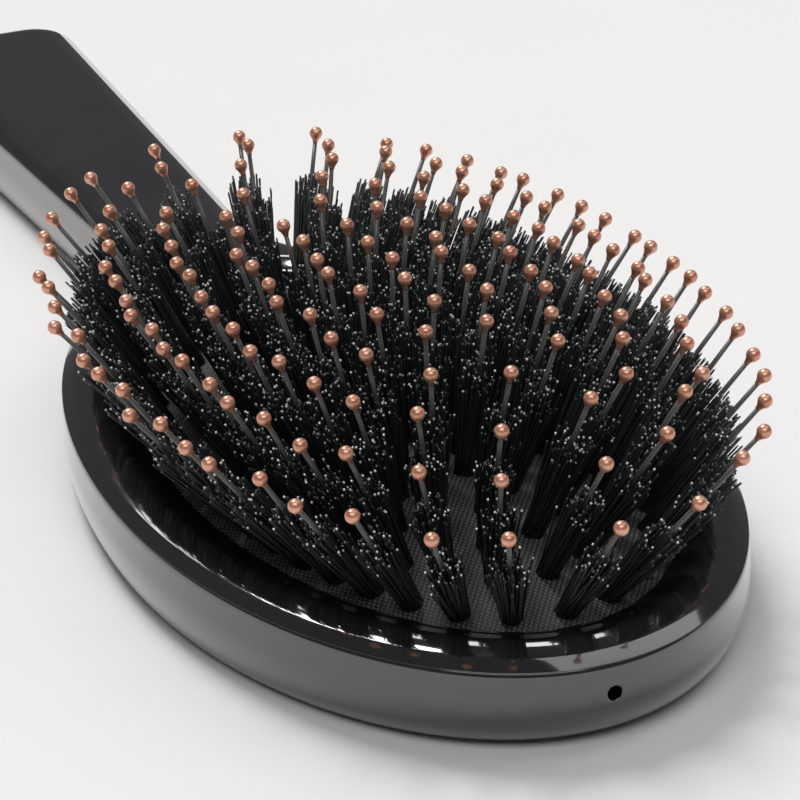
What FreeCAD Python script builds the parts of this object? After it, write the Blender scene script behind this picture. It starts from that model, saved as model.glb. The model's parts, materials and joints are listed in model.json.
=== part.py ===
import FreeCAD, Part
import math
import os
import Sketcher
from FreeCAD import Matrix, Placement, Rotation, Vector

# Oval cushion hairbrush, lying on its back with the bristles up.
# The origin is under the widest place of the head, on the surface that the back rests on.
# The toe points to -Y, the handle to +Y, and the seam of the two shells is level.

DRIVING_SIZES = [
    ("head_half_width", 35.0, "middle of the head to its side"),
    ("toe_length", 55.6, "widest place of the head to its toe"),
    ("neck_length", 64.0, "widest place of the head to the end of its oval in the neck"),
    ("handle_end", 161.4, "widest place of the head to the end of the handle"),
    ("neck_half_width", 8.9, "half of the handle's width, where its sides meet the head's end"),
    ("butt_half_width", 13.2, "half of the handle's width at its end"),
    ("neck_radius", 24.0, "hollow curve from the head into the handle"),
    ("butt_corner", 6.5, "corner radius of the handle's end"),
    ("least_corner", 0.8, "smallest corner radius of an inset outline"),
    ("seam_level", 10.0, "surface to the seam of the two shells"),
    ("seam_inset", 0.25, "draft of the side, from its widest line to the seam"),
    ("side_round", 2.6, "how far the side rounds in under the back"),
    ("toe_round", 3.0, "further rounding under the toe"),
    ("round_rise", 6.5, "height over which the side rounds in"),
    ("wall", 1.7, "side wall of the back shell"),
    ("floor_wall", 1.8, "floor of the back shell"),
    ("bevel_width", 1.85, "flat bevel above the seam, across"),
    ("bevel_rise", 1.25, "flat bevel above the seam, upwards"),
    ("rim_rise", 1.5, "seam to the top of the rim"),
    ("crest_width", 2.3, "bevel to the middle of the rim's rounded crest"),
    ("opening_inset", 8.2, "seam outline to the opening for the cushion"),
    ("opening_lip", 0.6, "thickness of the rim's edge round the cushion"),
    ("tongue_depth", 1.6, "locating tongue of the front shell"),
    ("tongue_wall", 1.0, "thickness of the tongue"),
    ("slip_gap", 0.15, "clearance of sliding fits between the shells"),
    ("soft_gap", 0.35, "clearance round the cushion"),
    ("cushion_wall", 1.1, "thickness of the rubber cushion"),
    ("crown", 3.4, "rise of the cushion's middle over its edge"),
    ("clamp_height", 1.9, "height of the clamp ring"),
    ("rib_wall", 1.5, "oval rib that carries the clamp ring"),
    ("vent_radius", 0.8, "air hole in the toe"),
    ("vent_drop", 3.4, "seam down to the air hole"),
    ("peg_radius", 1.4, "joining pegs of the front shell"),
    ("peg_depth", 5.2, "length of the joining pegs"),
    ("boss_radius", 2.9, "bosses that take the pegs"),
    ("peg_first", 86.0, "widest place of the head to the first peg"),
    ("peg_pitch", 30.0, "peg to peg along the handle"),
    ("ring_margin", 3.0, "cushion's edge to the roots of the outer ring"),
    ("row_toe", 9.0, "widest place of the head to the end of the centre row, towards the toe"),
    ("tuft_gap", 0.75, "spacing of the tufts along a ring, over the width of a tuft"),
    ("end_stretch", 0.3, "how much wider the tufts stand at the ends of a ring"),
    ("fan", 13.5, "how far out a pin standing at the cushion's edge would lean"),
    ("lean_scatter", 1.0, "most that a pin leans its own way besides"),
    ("pin_reach", 20.2, "cushion to the middle of a ball tip, along the pin"),
    ("pin_root_radius", 0.42, "pin at its root"),
    ("pin_end_radius", 0.32, "pin at its ball tip"),
    ("pin_sunk", 1.6, "depth of the pin below the cushion's face"),
    ("bore_gap", 0.05, "clearance round the pin in its bores"),
    ("ball_radius", 0.83, "ball tip"),
    ("collar_length", 0.6, "tapered collar under the ball"),
    ("collar_radius", 0.46, "collar's lower end"),
    ("collar_reach", 0.28, "how far the collar reaches up the ball"),
    ("tuft_lift", 0.85, "cushion's face to the tuft's lower end, along the pin"),
    ("tuft_height", 12.6, "length of the bristles"),
    ("tuft_root_radius", 1.2, "tuft at its root"),
    ("tuft_top_radius", 1.85, "tuft where the bristles end"),
    ("tuft_crown", 0.6, "rise of the bristles' ends towards the pin"),
    ("root_radius", 1.15, "stem of a root plug"),
    ("root_gap", 0.2, "clearance of the stem in the cushion"),
    ("flange_radius", 1.65, "flange of a root plug under the cushion"),
    ("flange_height", 0.8, "thickness of the flange"),
    ("flange_gap", 1.35, "cushion's underside to the flange, along the pin"),
]

# Outer ring first: node name, and the share of a step by which the ring is turned.
RINGS = [
    ("ring_1", 0.0),
    ("ring_2", 0.25),
    ("ring_3", 0.6),
    ("ring_4", 0.1),
    ("ring_5", 0.5),
]
CENTRE_ROW = "centre_row"
PEG_COUNT = 3

# How finely rounded faces are divided, and how finely a ring is walked.
ROUND_STEPS = 6
CREST_STEPS = 4
SLOPE_STEPS = 4
WALK_STEPS = 1440
BISECTIONS = 60

# From one tuft's own lean to the next: shares of a turn, and of lean_scatter. They never come round to the
# same place, so no pattern shows.
SCATTER_TURN = 0.618034
SCATTER_STEP = 0.754878

doc = FreeCAD.newDocument("hairbrush")
sheet = doc.addObject("Spreadsheet::Sheet", "Sizes")
for row, (alias, value, meaning) in enumerate(DRIVING_SIZES, 1):
    sheet.set(f"A{row}", meaning)
    sheet.set(f"B{row}", str(value))
    sheet.setAlias(f"B{row}", alias)
doc.recompute()


def size(alias):
    """A driving dimension, as the sheet holds it."""
    return float(sheet.get(alias))


def value_of(expression):
    """What an expression on the sheet comes to."""
    return float(sheet.evalExpression(expression))


def bound(obj, **expressions):
    """Binds properties of an object to expressions on the sheet. Two underscores stand for a dot."""
    for name, expression in expressions.items():
        obj.setExpression(name.replace("__", "."), expression)
    return obj


def feature(name, shape):
    obj = doc.addObject("Part::Feature", name)
    obj.Shape = shape
    obj.Placement = Placement()
    return obj


def cut(name, base, tool):
    obj = doc.addObject("Part::Cut", name)
    obj.Base = base
    obj.Tool = tool
    return obj


def fuse(name, pieces):
    obj = doc.addObject("Part::MultiFuse", name)
    obj.Shapes = pieces
    return obj


def cylinder(name, radius, height, y="0", z="0", tilt=0.0):
    """An upright cylinder on the middle plane, or one turned about X to lie along the head."""
    obj = doc.addObject("Part::Cylinder", name)
    obj.Placement = Placement(Vector(), Rotation(Vector(1, 0, 0), tilt))
    return bound(obj, Radius=radius, Height=height, Placement__Base__y=y, Placement__Base__z=z)


def half_lengths(inset, toe_inset=0.0):
    """The head's oval set in by a distance: from its widest place to the toe, and into the neck."""
    return size("toe_length") - inset - toe_inset, size("neck_length") - inset


def half_oval(half_width, half_length, first, last):
    """Part of a half ellipse round the toe, or round the neck if half_length is negative.
    The angle runs from the widest place on the -X side, a quarter turn to the end, and on to the +X side."""
    if abs(half_length) > half_width:
        oval = Part.Ellipse(Vector(0, -half_length, 0), Vector(half_width, 0, 0), Vector())
        start = -math.pi / 2
    else:
        oval = Part.Ellipse(Vector(-half_width, 0, 0), Vector(0, -half_length, 0), Vector())
        start = 0.0
    return Part.ArcOfEllipse(oval, start + first, start + last)


def oval_wire(inset, level):
    half_width = size("head_half_width") - inset
    toe, neck = half_lengths(inset)
    round_toe = half_oval(half_width, toe, 0, math.pi).toShape()
    round_neck = half_oval(half_width, -neck, 0, math.pi).toShape()
    wire = Part.Wire([round_toe, round_neck])
    wire.translate(Vector(0, 0, level))
    return wire


def oval_block(name, inset, bottom, height):
    """An upright block whose outline is the head's oval, set in by a distance."""
    block = doc.addObject("Part::Extrusion", name)
    block.Base = feature(name + "_oval", oval_wire(value_of(inset), 0.0))
    block.DirMode = "Custom"
    block.Dir = Vector(0, 0, 1)
    block.Solid = True
    return bound(block, LengthFwd=height, Placement__Base__z=bottom)


def oval_ring(name, outer_inset, inner_inset, bottom, height):
    outer = oval_block(name + "_outer", outer_inset, bottom, height)
    inner = oval_block(name + "_inner", inner_inset, bottom, height)
    return cut(name, outer, inner)


# Outlines of the shells

def handle_side(inset):
    """Two points on the straight right side of the handle: at the head's end, and at the butt."""
    near = Vector(size("neck_half_width") - inset, size("neck_length"), 0)
    far = Vector(size("butt_half_width") - inset, size("handle_end") - inset, 0)
    return near, far


def neck_arc(half_width, half_length, radius, near, far):
    """The hollow arc that touches the head's oval and the handle's side: oval angle, start, middle, end."""
    along = (far - near).normalize()
    outward = Vector(along.y, -along.x, 0)
    low, high = 0.0, math.pi / 2
    for _ in range(BISECTIONS):
        angle = (low + high) / 2
        on_oval = Vector(half_width * math.cos(angle), half_length * math.sin(angle), 0)
        normal = Vector(half_length * math.cos(angle), half_width * math.sin(angle), 0).normalize()
        centre = on_oval + normal * radius
        if (centre - near).dot(outward) > radius:
            low = angle
        else:
            high = angle
    on_side = centre - outward * radius
    middle = centre - (normal + outward).normalize() * radius
    return angle, on_oval, middle, on_side


def corner_arc(before, corner, after, radius):
    """The arc that rounds a corner: its start, middle and end."""
    back = (before - corner).normalize()
    on = (after - corner).normalize()
    half = back.getAngle(on) / 2
    start = corner + back * (radius / math.tan(half))
    end = corner + on * (radius / math.tan(half))
    bisector = (back + on).normalize()
    middle = corner + bisector * (radius / math.sin(half) - radius)
    return start, middle, end


def mirrored(point):
    return Vector(-point.x, point.y, point.z)


def outline(inset, level, toe_inset=0.0):
    """The brush seen from above, set in by a distance: oval head, hollow neck, straight handle."""
    half_width = size("head_half_width") - inset
    toe, neck = half_lengths(inset, toe_inset)
    near, far = handle_side(inset)
    angle, on_oval, neck_middle, on_side = neck_arc(half_width, neck, size("neck_radius") + inset, near, far)
    radius = max(size("butt_corner") - inset, size("least_corner"))
    start, corner_middle, end = corner_arc(near, far, mirrored(far), radius)
    curves = [
        half_oval(half_width, toe, 0, math.pi),
        half_oval(half_width, -neck, math.pi - angle, math.pi),
        Part.Arc(on_oval, neck_middle, on_side),
        Part.LineSegment(on_side, start),
        Part.Arc(start, corner_middle, end),
        Part.LineSegment(end, mirrored(end)),
        Part.Arc(mirrored(end), mirrored(corner_middle), mirrored(start)),
        Part.LineSegment(mirrored(start), mirrored(on_side)),
        Part.Arc(mirrored(on_side), mirrored(neck_middle), mirrored(on_oval)),
        half_oval(half_width, -neck, 0, angle),
    ]
    edges = Part.sortEdges([curve.toShape() for curve in curves])[0]
    wire = Part.Wire(edges)
    wire.translate(Vector(0, 0, level))
    return wire


def under_round(level):
    """How far the side has rounded in at a level, as a share: all at the surface, none at round_rise."""
    left = max(0.0, 1 - level / size("round_rise"))
    return 1 - math.sqrt(1 - left * left)


def side_section(level, inward=0.0):
    """One level outline of the back shell's side. A section set inward is the inside of its wall."""
    round_rise = size("round_rise")
    drafted = max(0.0, level - round_rise) / (size("seam_level") - round_rise)
    inset = size("side_round") * under_round(level) + size("seam_inset") * drafted
    return outline(inset + inward, level, size("toe_round") * under_round(level))


# Back shell: a tray with rounded sides, the rib under the clamp ring, bosses for the pegs, and the air hole.

seam = size("seam_level")
round_rise = size("round_rise")


def tray_loft(name, bottom, inward):
    """The side's sections from one level up to the seam, skinned, closest where it rounds most."""
    sections = []
    for step in range(ROUND_STEPS + 1):
        level = round_rise * (1 - math.cos(step / ROUND_STEPS * math.pi / 2))
        if level > bottom:
            sections.append(side_section(level, inward))
    sections.insert(0, side_section(bottom, inward))
    sections.append(side_section(seam, inward))
    return feature(name, Part.makeLoft(sections, True, True))


tray_block = tray_loft("tray_block", 0.0, 0.0)
tray_hollow = tray_loft("tray_hollow", size("floor_wall"), size("wall"))
tray = cut("tray", tray_block, tray_hollow)

ROOTED = "0.5 * Sizes.floor_wall"
TONGUE_INSET = "Sizes.seam_inset + Sizes.wall + Sizes.slip_gap"
LIP_INSET = f"{TONGUE_INSET} + Sizes.tongue_wall + Sizes.soft_gap"
CLAMP_BOTTOM = "Sizes.seam_level - Sizes.cushion_wall - Sizes.clamp_height"
RIB_INSET = f"{LIP_INSET} + 0.5 * (Sizes.opening_inset - ({LIP_INSET}) - Sizes.rib_wall)"
RIB_HEIGHT = f"{CLAMP_BOTTOM} - {ROOTED}"
rib = oval_ring("clamp_rib", RIB_INSET, f"{RIB_INSET} + Sizes.rib_wall", ROOTED, RIB_HEIGHT)

BOSS_HEIGHT = f"Sizes.seam_level - {ROOTED}"
BORE_RADIUS = "Sizes.peg_radius + Sizes.slip_gap"
BORE_DEPTH = "Sizes.peg_depth + Sizes.slip_gap"
PEG_LENGTH = "Sizes.peg_depth + 0.5 * Sizes.bevel_rise"
bosses = []
bores = []
pegs = []
for number in range(PEG_COUNT):
    place = f"Sizes.peg_first + {number} * Sizes.peg_pitch"
    bosses.append(cylinder(f"boss_{number}", "Sizes.boss_radius", BOSS_HEIGHT, place, ROOTED))
    bores.append(cylinder(f"bore_{number}", BORE_RADIUS, f"{BORE_DEPTH} + Sizes.slip_gap", place,
                          f"Sizes.seam_level - ({BORE_DEPTH})"))
    pegs.append(cylinder(f"peg_{number}", "Sizes.peg_radius", PEG_LENGTH, place,
                         "Sizes.seam_level - Sizes.peg_depth"))
vent = cylinder("vent", "Sizes.vent_radius", "Sizes.toe_length", "-0.5 * Sizes.toe_length",
                "Sizes.seam_level - Sizes.vent_drop", 90.0)
filled_tray = fuse("filled_tray", [tray, rib] + bosses)
back_shell = cut("back_shell", filled_tray, fuse("tray_holes", bores + [vent]))

# Front shell: the rim with its bevel, crest and inner slope, the flat top of the handle, a tongue and pegs.

bevel_width = size("bevel_width")
bevel_rise = size("bevel_rise")
rim_rise = size("rim_rise")
crest_width = size("crest_width")
seam_inset = size("seam_inset")
bevel_inset = seam_inset + bevel_width
crest_rise = rim_rise - bevel_rise
rim_wires = [outline(seam_inset, seam)]
for step in range(CREST_STEPS + 1):
    across = step / CREST_STEPS
    up = 1 - (1 - across) ** 2
    rim_wires.append(outline(bevel_inset + crest_width * across, seam + bevel_rise + crest_rise * up))
rim_plate = feature("rim_plate", Part.makeLoft(rim_wires, True, True))

opening_inset = size("opening_inset")
slope_width = opening_inset - bevel_inset - crest_width
lip_top = seam + size("opening_lip")
top = seam + rim_rise
opening_wires = [oval_wire(opening_inset, seam - rim_rise)]
for step in range(SLOPE_STEPS + 1):
    across = step / SLOPE_STEPS
    up = across * across * (3 - 2 * across)
    opening_wires.append(oval_wire(opening_inset - slope_width * across, lip_top + (top - lip_top) * up))
opening_wires.append(oval_wire(opening_inset - slope_width, top + rim_rise))
opening = feature("opening", Part.makeLoft(opening_wires, True, True))
rim = cut("rim", rim_plate, opening)

tongue_inset = seam_inset + size("wall") + size("slip_gap")
tongue_bottom = seam - size("tongue_depth")
tongue_height = Vector(0, 0, size("tongue_depth") + bevel_rise / 2)
tongue_outer = Part.Face(outline(tongue_inset, tongue_bottom)).extrude(tongue_height)
tongue_inner = Part.Face(outline(tongue_inset + size("tongue_wall"), tongue_bottom)).extrude(tongue_height)
tongue = feature("tongue", tongue_outer.cut(tongue_inner))
front_shell = fuse("front_shell", [rim, tongue] + pegs)

# Tufts: where each one stands on the crowned cushion, and which way it points.

dome_inset = opening_inset + size("soft_gap")
dome_half_width = size("head_half_width") - dome_inset
dome_toe, dome_neck = half_lengths(dome_inset)


def dome_length(y):
    return dome_toe if y < 0 else dome_neck


def dome_shares(x, y):
    """How far out a place on the cushion lies, across and along, as shares of the way to its edge."""
    return x / dome_half_width, y / dome_length(y)


def dome_share(x, y):
    """The cushion's height over its edge at a place, as a share of its crown."""
    across, along = dome_shares(x, y)
    return 1 - across ** 2 - along ** 2


def own_lean(number):
    """The small lean that each tuft has of its own."""
    turn = 2 * math.pi * (number * SCATTER_TURN % 1)
    far = size("lean_scatter") * (number * SCATTER_STEP % 1)
    return Vector(far * math.cos(turn), far * math.sin(turn), 0)


def tuft_place(x, y, number):
    """A frame on the cushion's face, with Z along the pin, which fans outwards, square to its ring."""
    across, along = dome_shares(x, y)
    square = Vector(across / dome_half_width, along / dome_length(y), 0)
    out = own_lean(number)
    if square.Length > 0:
        out += square.normalize() * size("fan") * math.hypot(across, along)
    axis = out + Vector(0, 0, math.sqrt(size("pin_reach") ** 2 - out.Length ** 2))
    foot = Vector(x, y, seam + size("crown") * dome_share(x, y))
    return Placement(foot, Rotation(Vector(0, 0, 1), axis))


def ring_spots(half_width, toe, neck, turn):
    """Places round an oval from the toe, evenly apart but wider by end_stretch towards its two ends."""
    points = []
    for step in range(WALK_STEPS + 1):
        angle = 2 * math.pi * step / WALK_STEPS - math.pi / 2
        rise = math.sin(angle)
        points.append((half_width * math.cos(angle), rise * (toe if rise < 0 else neck)))
    walked = [0.0]
    for (x0, y0), (x1, y1) in zip(points, points[1:]):
        to_end = abs((y0 + y1) / 2) / (toe if y0 + y1 < 0 else neck)
        stretch = 1 + size("end_stretch") * to_end ** 3
        walked.append(walked[-1] + math.hypot(x1 - x0, y1 - y0) / stretch)
    count = int(walked[-1] / tuft_pitch)
    spots = []
    step = 0
    for number in range(count):
        wanted = walked[-1] * (number + turn) / count
        while walked[step + 1] < wanted:
            step += 1
        spots.append(points[step])
    return spots


tuft_pitch = 2 * size("tuft_top_radius") + size("tuft_gap")
outer_half_width = dome_half_width - size("ring_margin")
outer_toe = dome_toe - size("ring_margin")
row_toe = size("row_toe")
neck_stretch = dome_neck / dome_toe
spots = {}
for order, (ring, turn) in enumerate(RINGS):
    outward = 1 - order / len(RINGS)
    toe = row_toe + (outer_toe - row_toe) * outward
    spots[ring] = ring_spots(outer_half_width * outward, toe, toe * neck_stretch, turn)
row_length = row_toe * (1 + neck_stretch)
row_steps = int(row_length / tuft_pitch)
spots[CENTRE_ROW] = [(0.0, row_length * number / row_steps - row_toe) for number in range(row_steps + 1)]
places = {}
for ring in spots:
    first = sum(len(standing_places) for standing_places in places.values())
    places[ring] = [tuft_place(x, y, first + number) for number, (x, y) in enumerate(spots[ring])]
    sink = sum(dome_share(x, y) for x, y in spots[ring]) / len(spots[ring])
    print(f"{ring}: {len(spots[ring])} tufts, sinks {sink:.4f} of the crown's travel")

# Patterns for one tuft, each standing on its own lower end.


def turned(name, profile):
    """A turned piece: a closed outline of (radius, height) expressions, revolved about the Z axis."""
    body = doc.addObject("PartDesign::Body", name)
    sketch = body.newObject("Sketcher::SketchObject", name + "_outline")
    plane = [item for item in body.Origin.OriginFeatures if item.Role == "XZ_Plane"][0]
    sketch.AttachmentSupport = (plane, [""])
    sketch.MapMode = "FlatFace"
    values = [(value_of(radius), value_of(height)) for radius, height in profile]
    count = len(profile)
    for corner in range(count):
        after = (corner + 1) % count
        start = Vector(values[corner][0], values[corner][1], 0)
        end = Vector(values[after][0], values[after][1], 0)
        sketch.addGeometry(Part.LineSegment(start, end), False)
    for corner in range(count):
        before = (corner - 1) % count
        sketch.addConstraint(Sketcher.Constraint("Coincident", before, 2, corner, 1))
    for corner, expressions in enumerate(profile):
        for direction, axis, expression, value in zip("XY", (-2, -1), expressions, values[corner]):
            if expression == "0":
                sketch.addConstraint(Sketcher.Constraint("PointOnObject", corner, 1, axis))
                continue
            distance = Sketcher.Constraint("Distance" + direction, -1, 1, corner, 1, value)
            sketch.setExpression(f"Constraints[{sketch.addConstraint(distance)}]", expression)
    spun = body.newObject("PartDesign::Revolution", name + "_spun")
    spun.Profile = sketch
    spun.ReferenceAxis = (sketch, ["V_Axis"])
    spun.Angle = 360.0
    body.Tip = spun
    return body


SHANK = "Sizes.pin_sunk + Sizes.pin_reach"
pin = doc.addObject("Part::Cone", "pin_pattern")
bound(pin, Radius1="Sizes.pin_root_radius", Radius2="Sizes.pin_end_radius", Height=SHANK)

ball = doc.addObject("Part::Sphere", "ball")
bound(ball, Radius="Sizes.ball_radius", Placement__Base__z="Sizes.ball_radius + Sizes.collar_length")
collar = doc.addObject("Part::Cone", "collar")
bound(collar, Radius1="Sizes.collar_radius", Height="Sizes.collar_length + Sizes.collar_reach",
      Radius2="sqrt(Sizes.ball_radius ^ 2 - (Sizes.ball_radius - Sizes.collar_reach) ^ 2)")
BALL_MIDDLE = "Sizes.ball_radius + Sizes.collar_length"
ball_bore = cylinder("ball_bore", "Sizes.pin_end_radius + Sizes.bore_gap", f"{BALL_MIDDLE} + Sizes.bore_gap")
tip = cut("tip_pattern", fuse("ball_on_collar", [ball, collar]), ball_bore)

PIN_BORE = "Sizes.pin_root_radius + Sizes.bore_gap"
tuft = turned("tuft_pattern", [
    (PIN_BORE, "0"),
    ("Sizes.tuft_root_radius", "0"),
    ("Sizes.tuft_top_radius", "Sizes.tuft_height - Sizes.tuft_crown"),
    (PIN_BORE, "Sizes.tuft_height"),
])

FLANGE_DROP = "Sizes.cushion_wall + Sizes.flange_gap + Sizes.flange_height"
root = turned("root_pattern", [
    ("0", "0"),
    ("Sizes.flange_radius", "0"),
    ("Sizes.flange_radius", "Sizes.flange_height"),
    ("Sizes.root_radius", "Sizes.flange_height"),
    ("Sizes.root_radius", f"{FLANGE_DROP} + Sizes.tuft_lift"),
    (PIN_BORE, f"{FLANGE_DROP} + Sizes.tuft_lift"),
    (PIN_BORE, f"{FLANGE_DROP} - Sizes.pin_sunk"),
    ("0", f"{FLANGE_DROP} - Sizes.pin_sunk"),
])
doc.recompute()

# Each pattern's lower end, along the pin from the cushion's face.
PATTERNS = {
    "pins": (pin, -size("pin_sunk")),
    "tips": (tip, size("pin_reach") - size("ball_radius") - size("collar_length")),
    "tufts": (tuft, size("tuft_lift")),
    "roots": (root, -value_of(FLANGE_DROP)),
}


def standing(shape, place, lift):
    """A copy of a shape, stood on a place and moved along its axis."""
    copy = shape.copy()
    copy.Placement = place.multiply(Placement(Vector(0, 0, lift), Rotation()))
    return copy


nodes = {"back_shell": back_shell, "front_shell": front_shell}
for ring in places:
    for kind, (pattern, lift) in PATTERNS.items():
        solids = [standing(pattern.Shape, place, lift) for place in places[ring]]
        nodes[f"{ring}_{kind}"] = feature(f"{ring}_{kind}", Part.makeCompound(solids))

# Cushion: a crowned rubber sheet with a flat lip under the rim, and a hole for the stem of each root.


def arch(level, crown):
    """Half of the cushion's parabola across the head, from its middle down to its edge."""
    curve = Part.BezierCurve()
    curve.setPoles([Vector(0, 0, level + crown), Vector(dome_half_width / 2, 0, level + crown),
                    Vector(dome_half_width, 0, level)])
    return curve.toShape()


cushion_wall = size("cushion_wall")
crown = size("crown")
below = seam - cushion_wall
section = Part.Face(Part.Wire([
    arch(seam, crown),
    Part.LineSegment(Vector(dome_half_width, 0, seam), Vector(dome_half_width, 0, below)).toShape(),
    arch(below, crown),
    Part.LineSegment(Vector(0, 0, below + crown), Vector(0, 0, seam + crown)).toShape(),
]))
halves = []
for turn, half_length in ((-180, dome_toe), (180, dome_neck)):
    lengthwise = Matrix()
    lengthwise.scale(1.0, half_length / dome_half_width, 1.0)
    half = section.revolve(Vector(), Vector(0, 0, 1), turn).transformGeometry(lengthwise)
    halves.append(feature("dome_half", half))
dome = fuse("dome", halves)
LIP_INNER = "Sizes.opening_inset + 2 * Sizes.soft_gap"
LIP_BOTTOM = "Sizes.seam_level - Sizes.cushion_wall"
lip = oval_ring("cushion_lip", LIP_INSET, LIP_INNER, LIP_BOTTOM, "Sizes.cushion_wall")
sheet_of_rubber = fuse("rubber_sheet", [dome, lip])
hole_radius = size("root_radius") + size("root_gap")
hole_length = 6 * cushion_wall
hole = Part.makeCylinder(hole_radius, hole_length)
stem_holes = [standing(hole, place, -hole_length / 2) for ring in places for place in places[ring]]
cushion = cut("cushion", sheet_of_rubber, feature("stem_holes", Part.makeCompound(stem_holes)))
nodes["cushion"] = cushion

# Clamp ring: holds the cushion's lip up against the rim, and stands on the rib of the back shell.

clamp_ring = oval_ring("clamp_ring", LIP_INSET, "Sizes.opening_inset", CLAMP_BOTTOM, "Sizes.clamp_height")
nodes["clamp_ring"] = clamp_ring
doc.recompute()

for obj in doc.Objects:
    if "Invalid" in obj.State or "Error" in obj.State:
        raise RuntimeError(f"{obj.Name} did not compute: {obj.State}")
for label, obj in nodes.items():
    obj.Label = label
    if obj.Shape.isNull() or not obj.Shape.isValid():
        raise RuntimeError(f"{label} has no valid shape")
    print(f"{label}: {len(obj.Shape.Solids)} solids, {obj.Shape.Volume:.1f} cubic mm")

os.makedirs("parts", exist_ok=True)
for label, obj in nodes.items():
    obj.Shape.exportStep(os.path.join("parts", label + ".step"))
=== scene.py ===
import json

import bmesh
import bpy
import numpy as np
from mathutils import Matrix, Vector

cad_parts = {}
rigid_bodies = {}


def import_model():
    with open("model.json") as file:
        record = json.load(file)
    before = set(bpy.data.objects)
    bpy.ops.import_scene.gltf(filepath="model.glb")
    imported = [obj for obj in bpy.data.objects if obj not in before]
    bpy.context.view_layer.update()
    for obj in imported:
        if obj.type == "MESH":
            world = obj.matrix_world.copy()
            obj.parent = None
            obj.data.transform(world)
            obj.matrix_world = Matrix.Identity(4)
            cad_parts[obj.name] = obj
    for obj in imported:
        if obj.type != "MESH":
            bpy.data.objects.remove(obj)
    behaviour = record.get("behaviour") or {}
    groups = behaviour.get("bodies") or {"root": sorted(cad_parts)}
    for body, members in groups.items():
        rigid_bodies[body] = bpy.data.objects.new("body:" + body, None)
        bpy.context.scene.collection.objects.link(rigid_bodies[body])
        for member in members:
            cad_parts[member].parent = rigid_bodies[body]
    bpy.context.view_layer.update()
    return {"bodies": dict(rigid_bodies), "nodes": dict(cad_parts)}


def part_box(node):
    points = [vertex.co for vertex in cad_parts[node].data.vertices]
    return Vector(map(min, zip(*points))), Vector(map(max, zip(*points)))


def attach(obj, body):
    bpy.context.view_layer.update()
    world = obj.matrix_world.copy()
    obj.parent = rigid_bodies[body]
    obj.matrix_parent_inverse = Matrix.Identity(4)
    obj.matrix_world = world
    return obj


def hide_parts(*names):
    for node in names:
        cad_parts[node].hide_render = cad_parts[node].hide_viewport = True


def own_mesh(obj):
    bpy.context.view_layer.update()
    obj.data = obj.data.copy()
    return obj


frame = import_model()

# Back shell: the tray of the head and the underside of the handle, one moulding of gloss black plastic.
# Its side rounds in under the back, more so under the toe, and a small air hole goes through the toe.
# The front shell is pegged and welded to it along the seam.

back_low, back_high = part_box("back_shell")
front_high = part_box("front_shell")[1]
cushion_low, cushion_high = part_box("cushion")
HALF_WIDTH = back_high.x
TOE = -back_low.y
BUTT = back_high.y
SEAM = back_high.z
SEAM_INSET = HALF_WIDTH - front_high.x
LIP_INSET = HALF_WIDTH - cushion_high.x
NECK = cushion_high.y + LIP_INSET
NECK_HALF_WIDTH = 0.0089
BUTT_HALF_WIDTH = 0.0132
NECK_RADIUS = 0.024
NECK_HALVINGS = 40
BUTT_CORNER = 0.0065
LEAST_CORNER = 0.0008
TOE_POINTS = 64
NECK_POINTS = 64
HOLLOW_POINTS = 20
SIDE_POINTS = 24
CORNER_POINTS = 10
END_POINTS = 8
SIDE_ROUND = 0.0026
TOE_ROUND = 0.003
ROUND_RISE = 0.0065
ROUND_ROWS = 13
STRAIGHT_ROWS = 5
WALL = 0.0017
TRAY_FLOOR = 0.0018
SEAM_CHAMFER = 0.00007
VENT_RADIUS = 0.0008
VENT_LIP = 0.00012
VENT_FLARE = 1.7
VENT_DROP = 0.0034
VENT_LEVEL = SEAM - VENT_DROP
VENT_COLUMNS = 3
VENT_PATCH = 2.3 * VENT_RADIUS
VENT_STEPS = (0.5, 0.15, 0.0)
GLOSS_BLACK = (0.010, 0.010, 0.0105, 1)


def column(value):
    """One number or many as a column, one row for each."""
    return np.atleast_1d(np.asarray(value, float))[:, None]


def neck_touch(inset):
    """Where the hollow neck curve of an outline touches the head's oval: the oval's angle, the middle of the
    curve, the oval's normal, and the handle side's own and outward directions. The range of the angle is
    halved until the circle that stands on the oval's normal touches the side too."""
    inset = column(inset)
    side = np.array([BUTT_HALF_WIDTH - NECK_HALF_WIDTH, BUTT - NECK])
    side /= np.hypot(*side)
    outward = np.array([side[1], -side[0]])
    radius = NECK_RADIUS + inset
    low, high = np.zeros_like(inset), np.full_like(inset, np.pi / 2)
    for _ in range(NECK_HALVINGS):
        angle = (low + high) / 2
        oval = np.stack([(HALF_WIDTH - inset) * np.cos(angle), (NECK - inset) * np.sin(angle)], -1)
        normal = np.stack([(NECK - inset) * np.cos(angle), (HALF_WIDTH - inset) * np.sin(angle)], -1)
        normal /= np.linalg.norm(normal, axis=-1, keepdims=True)
        middle = oval + normal * radius[..., None]
        clear = ((middle[..., 0] - NECK_HALF_WIDTH + inset) * outward[0]
                 + (middle[..., 1] - NECK) * outward[1])
        low, high = np.where(clear > radius, angle, low), np.where(clear > radius, high, angle)
    return angle, middle, normal, side, outward


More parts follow.
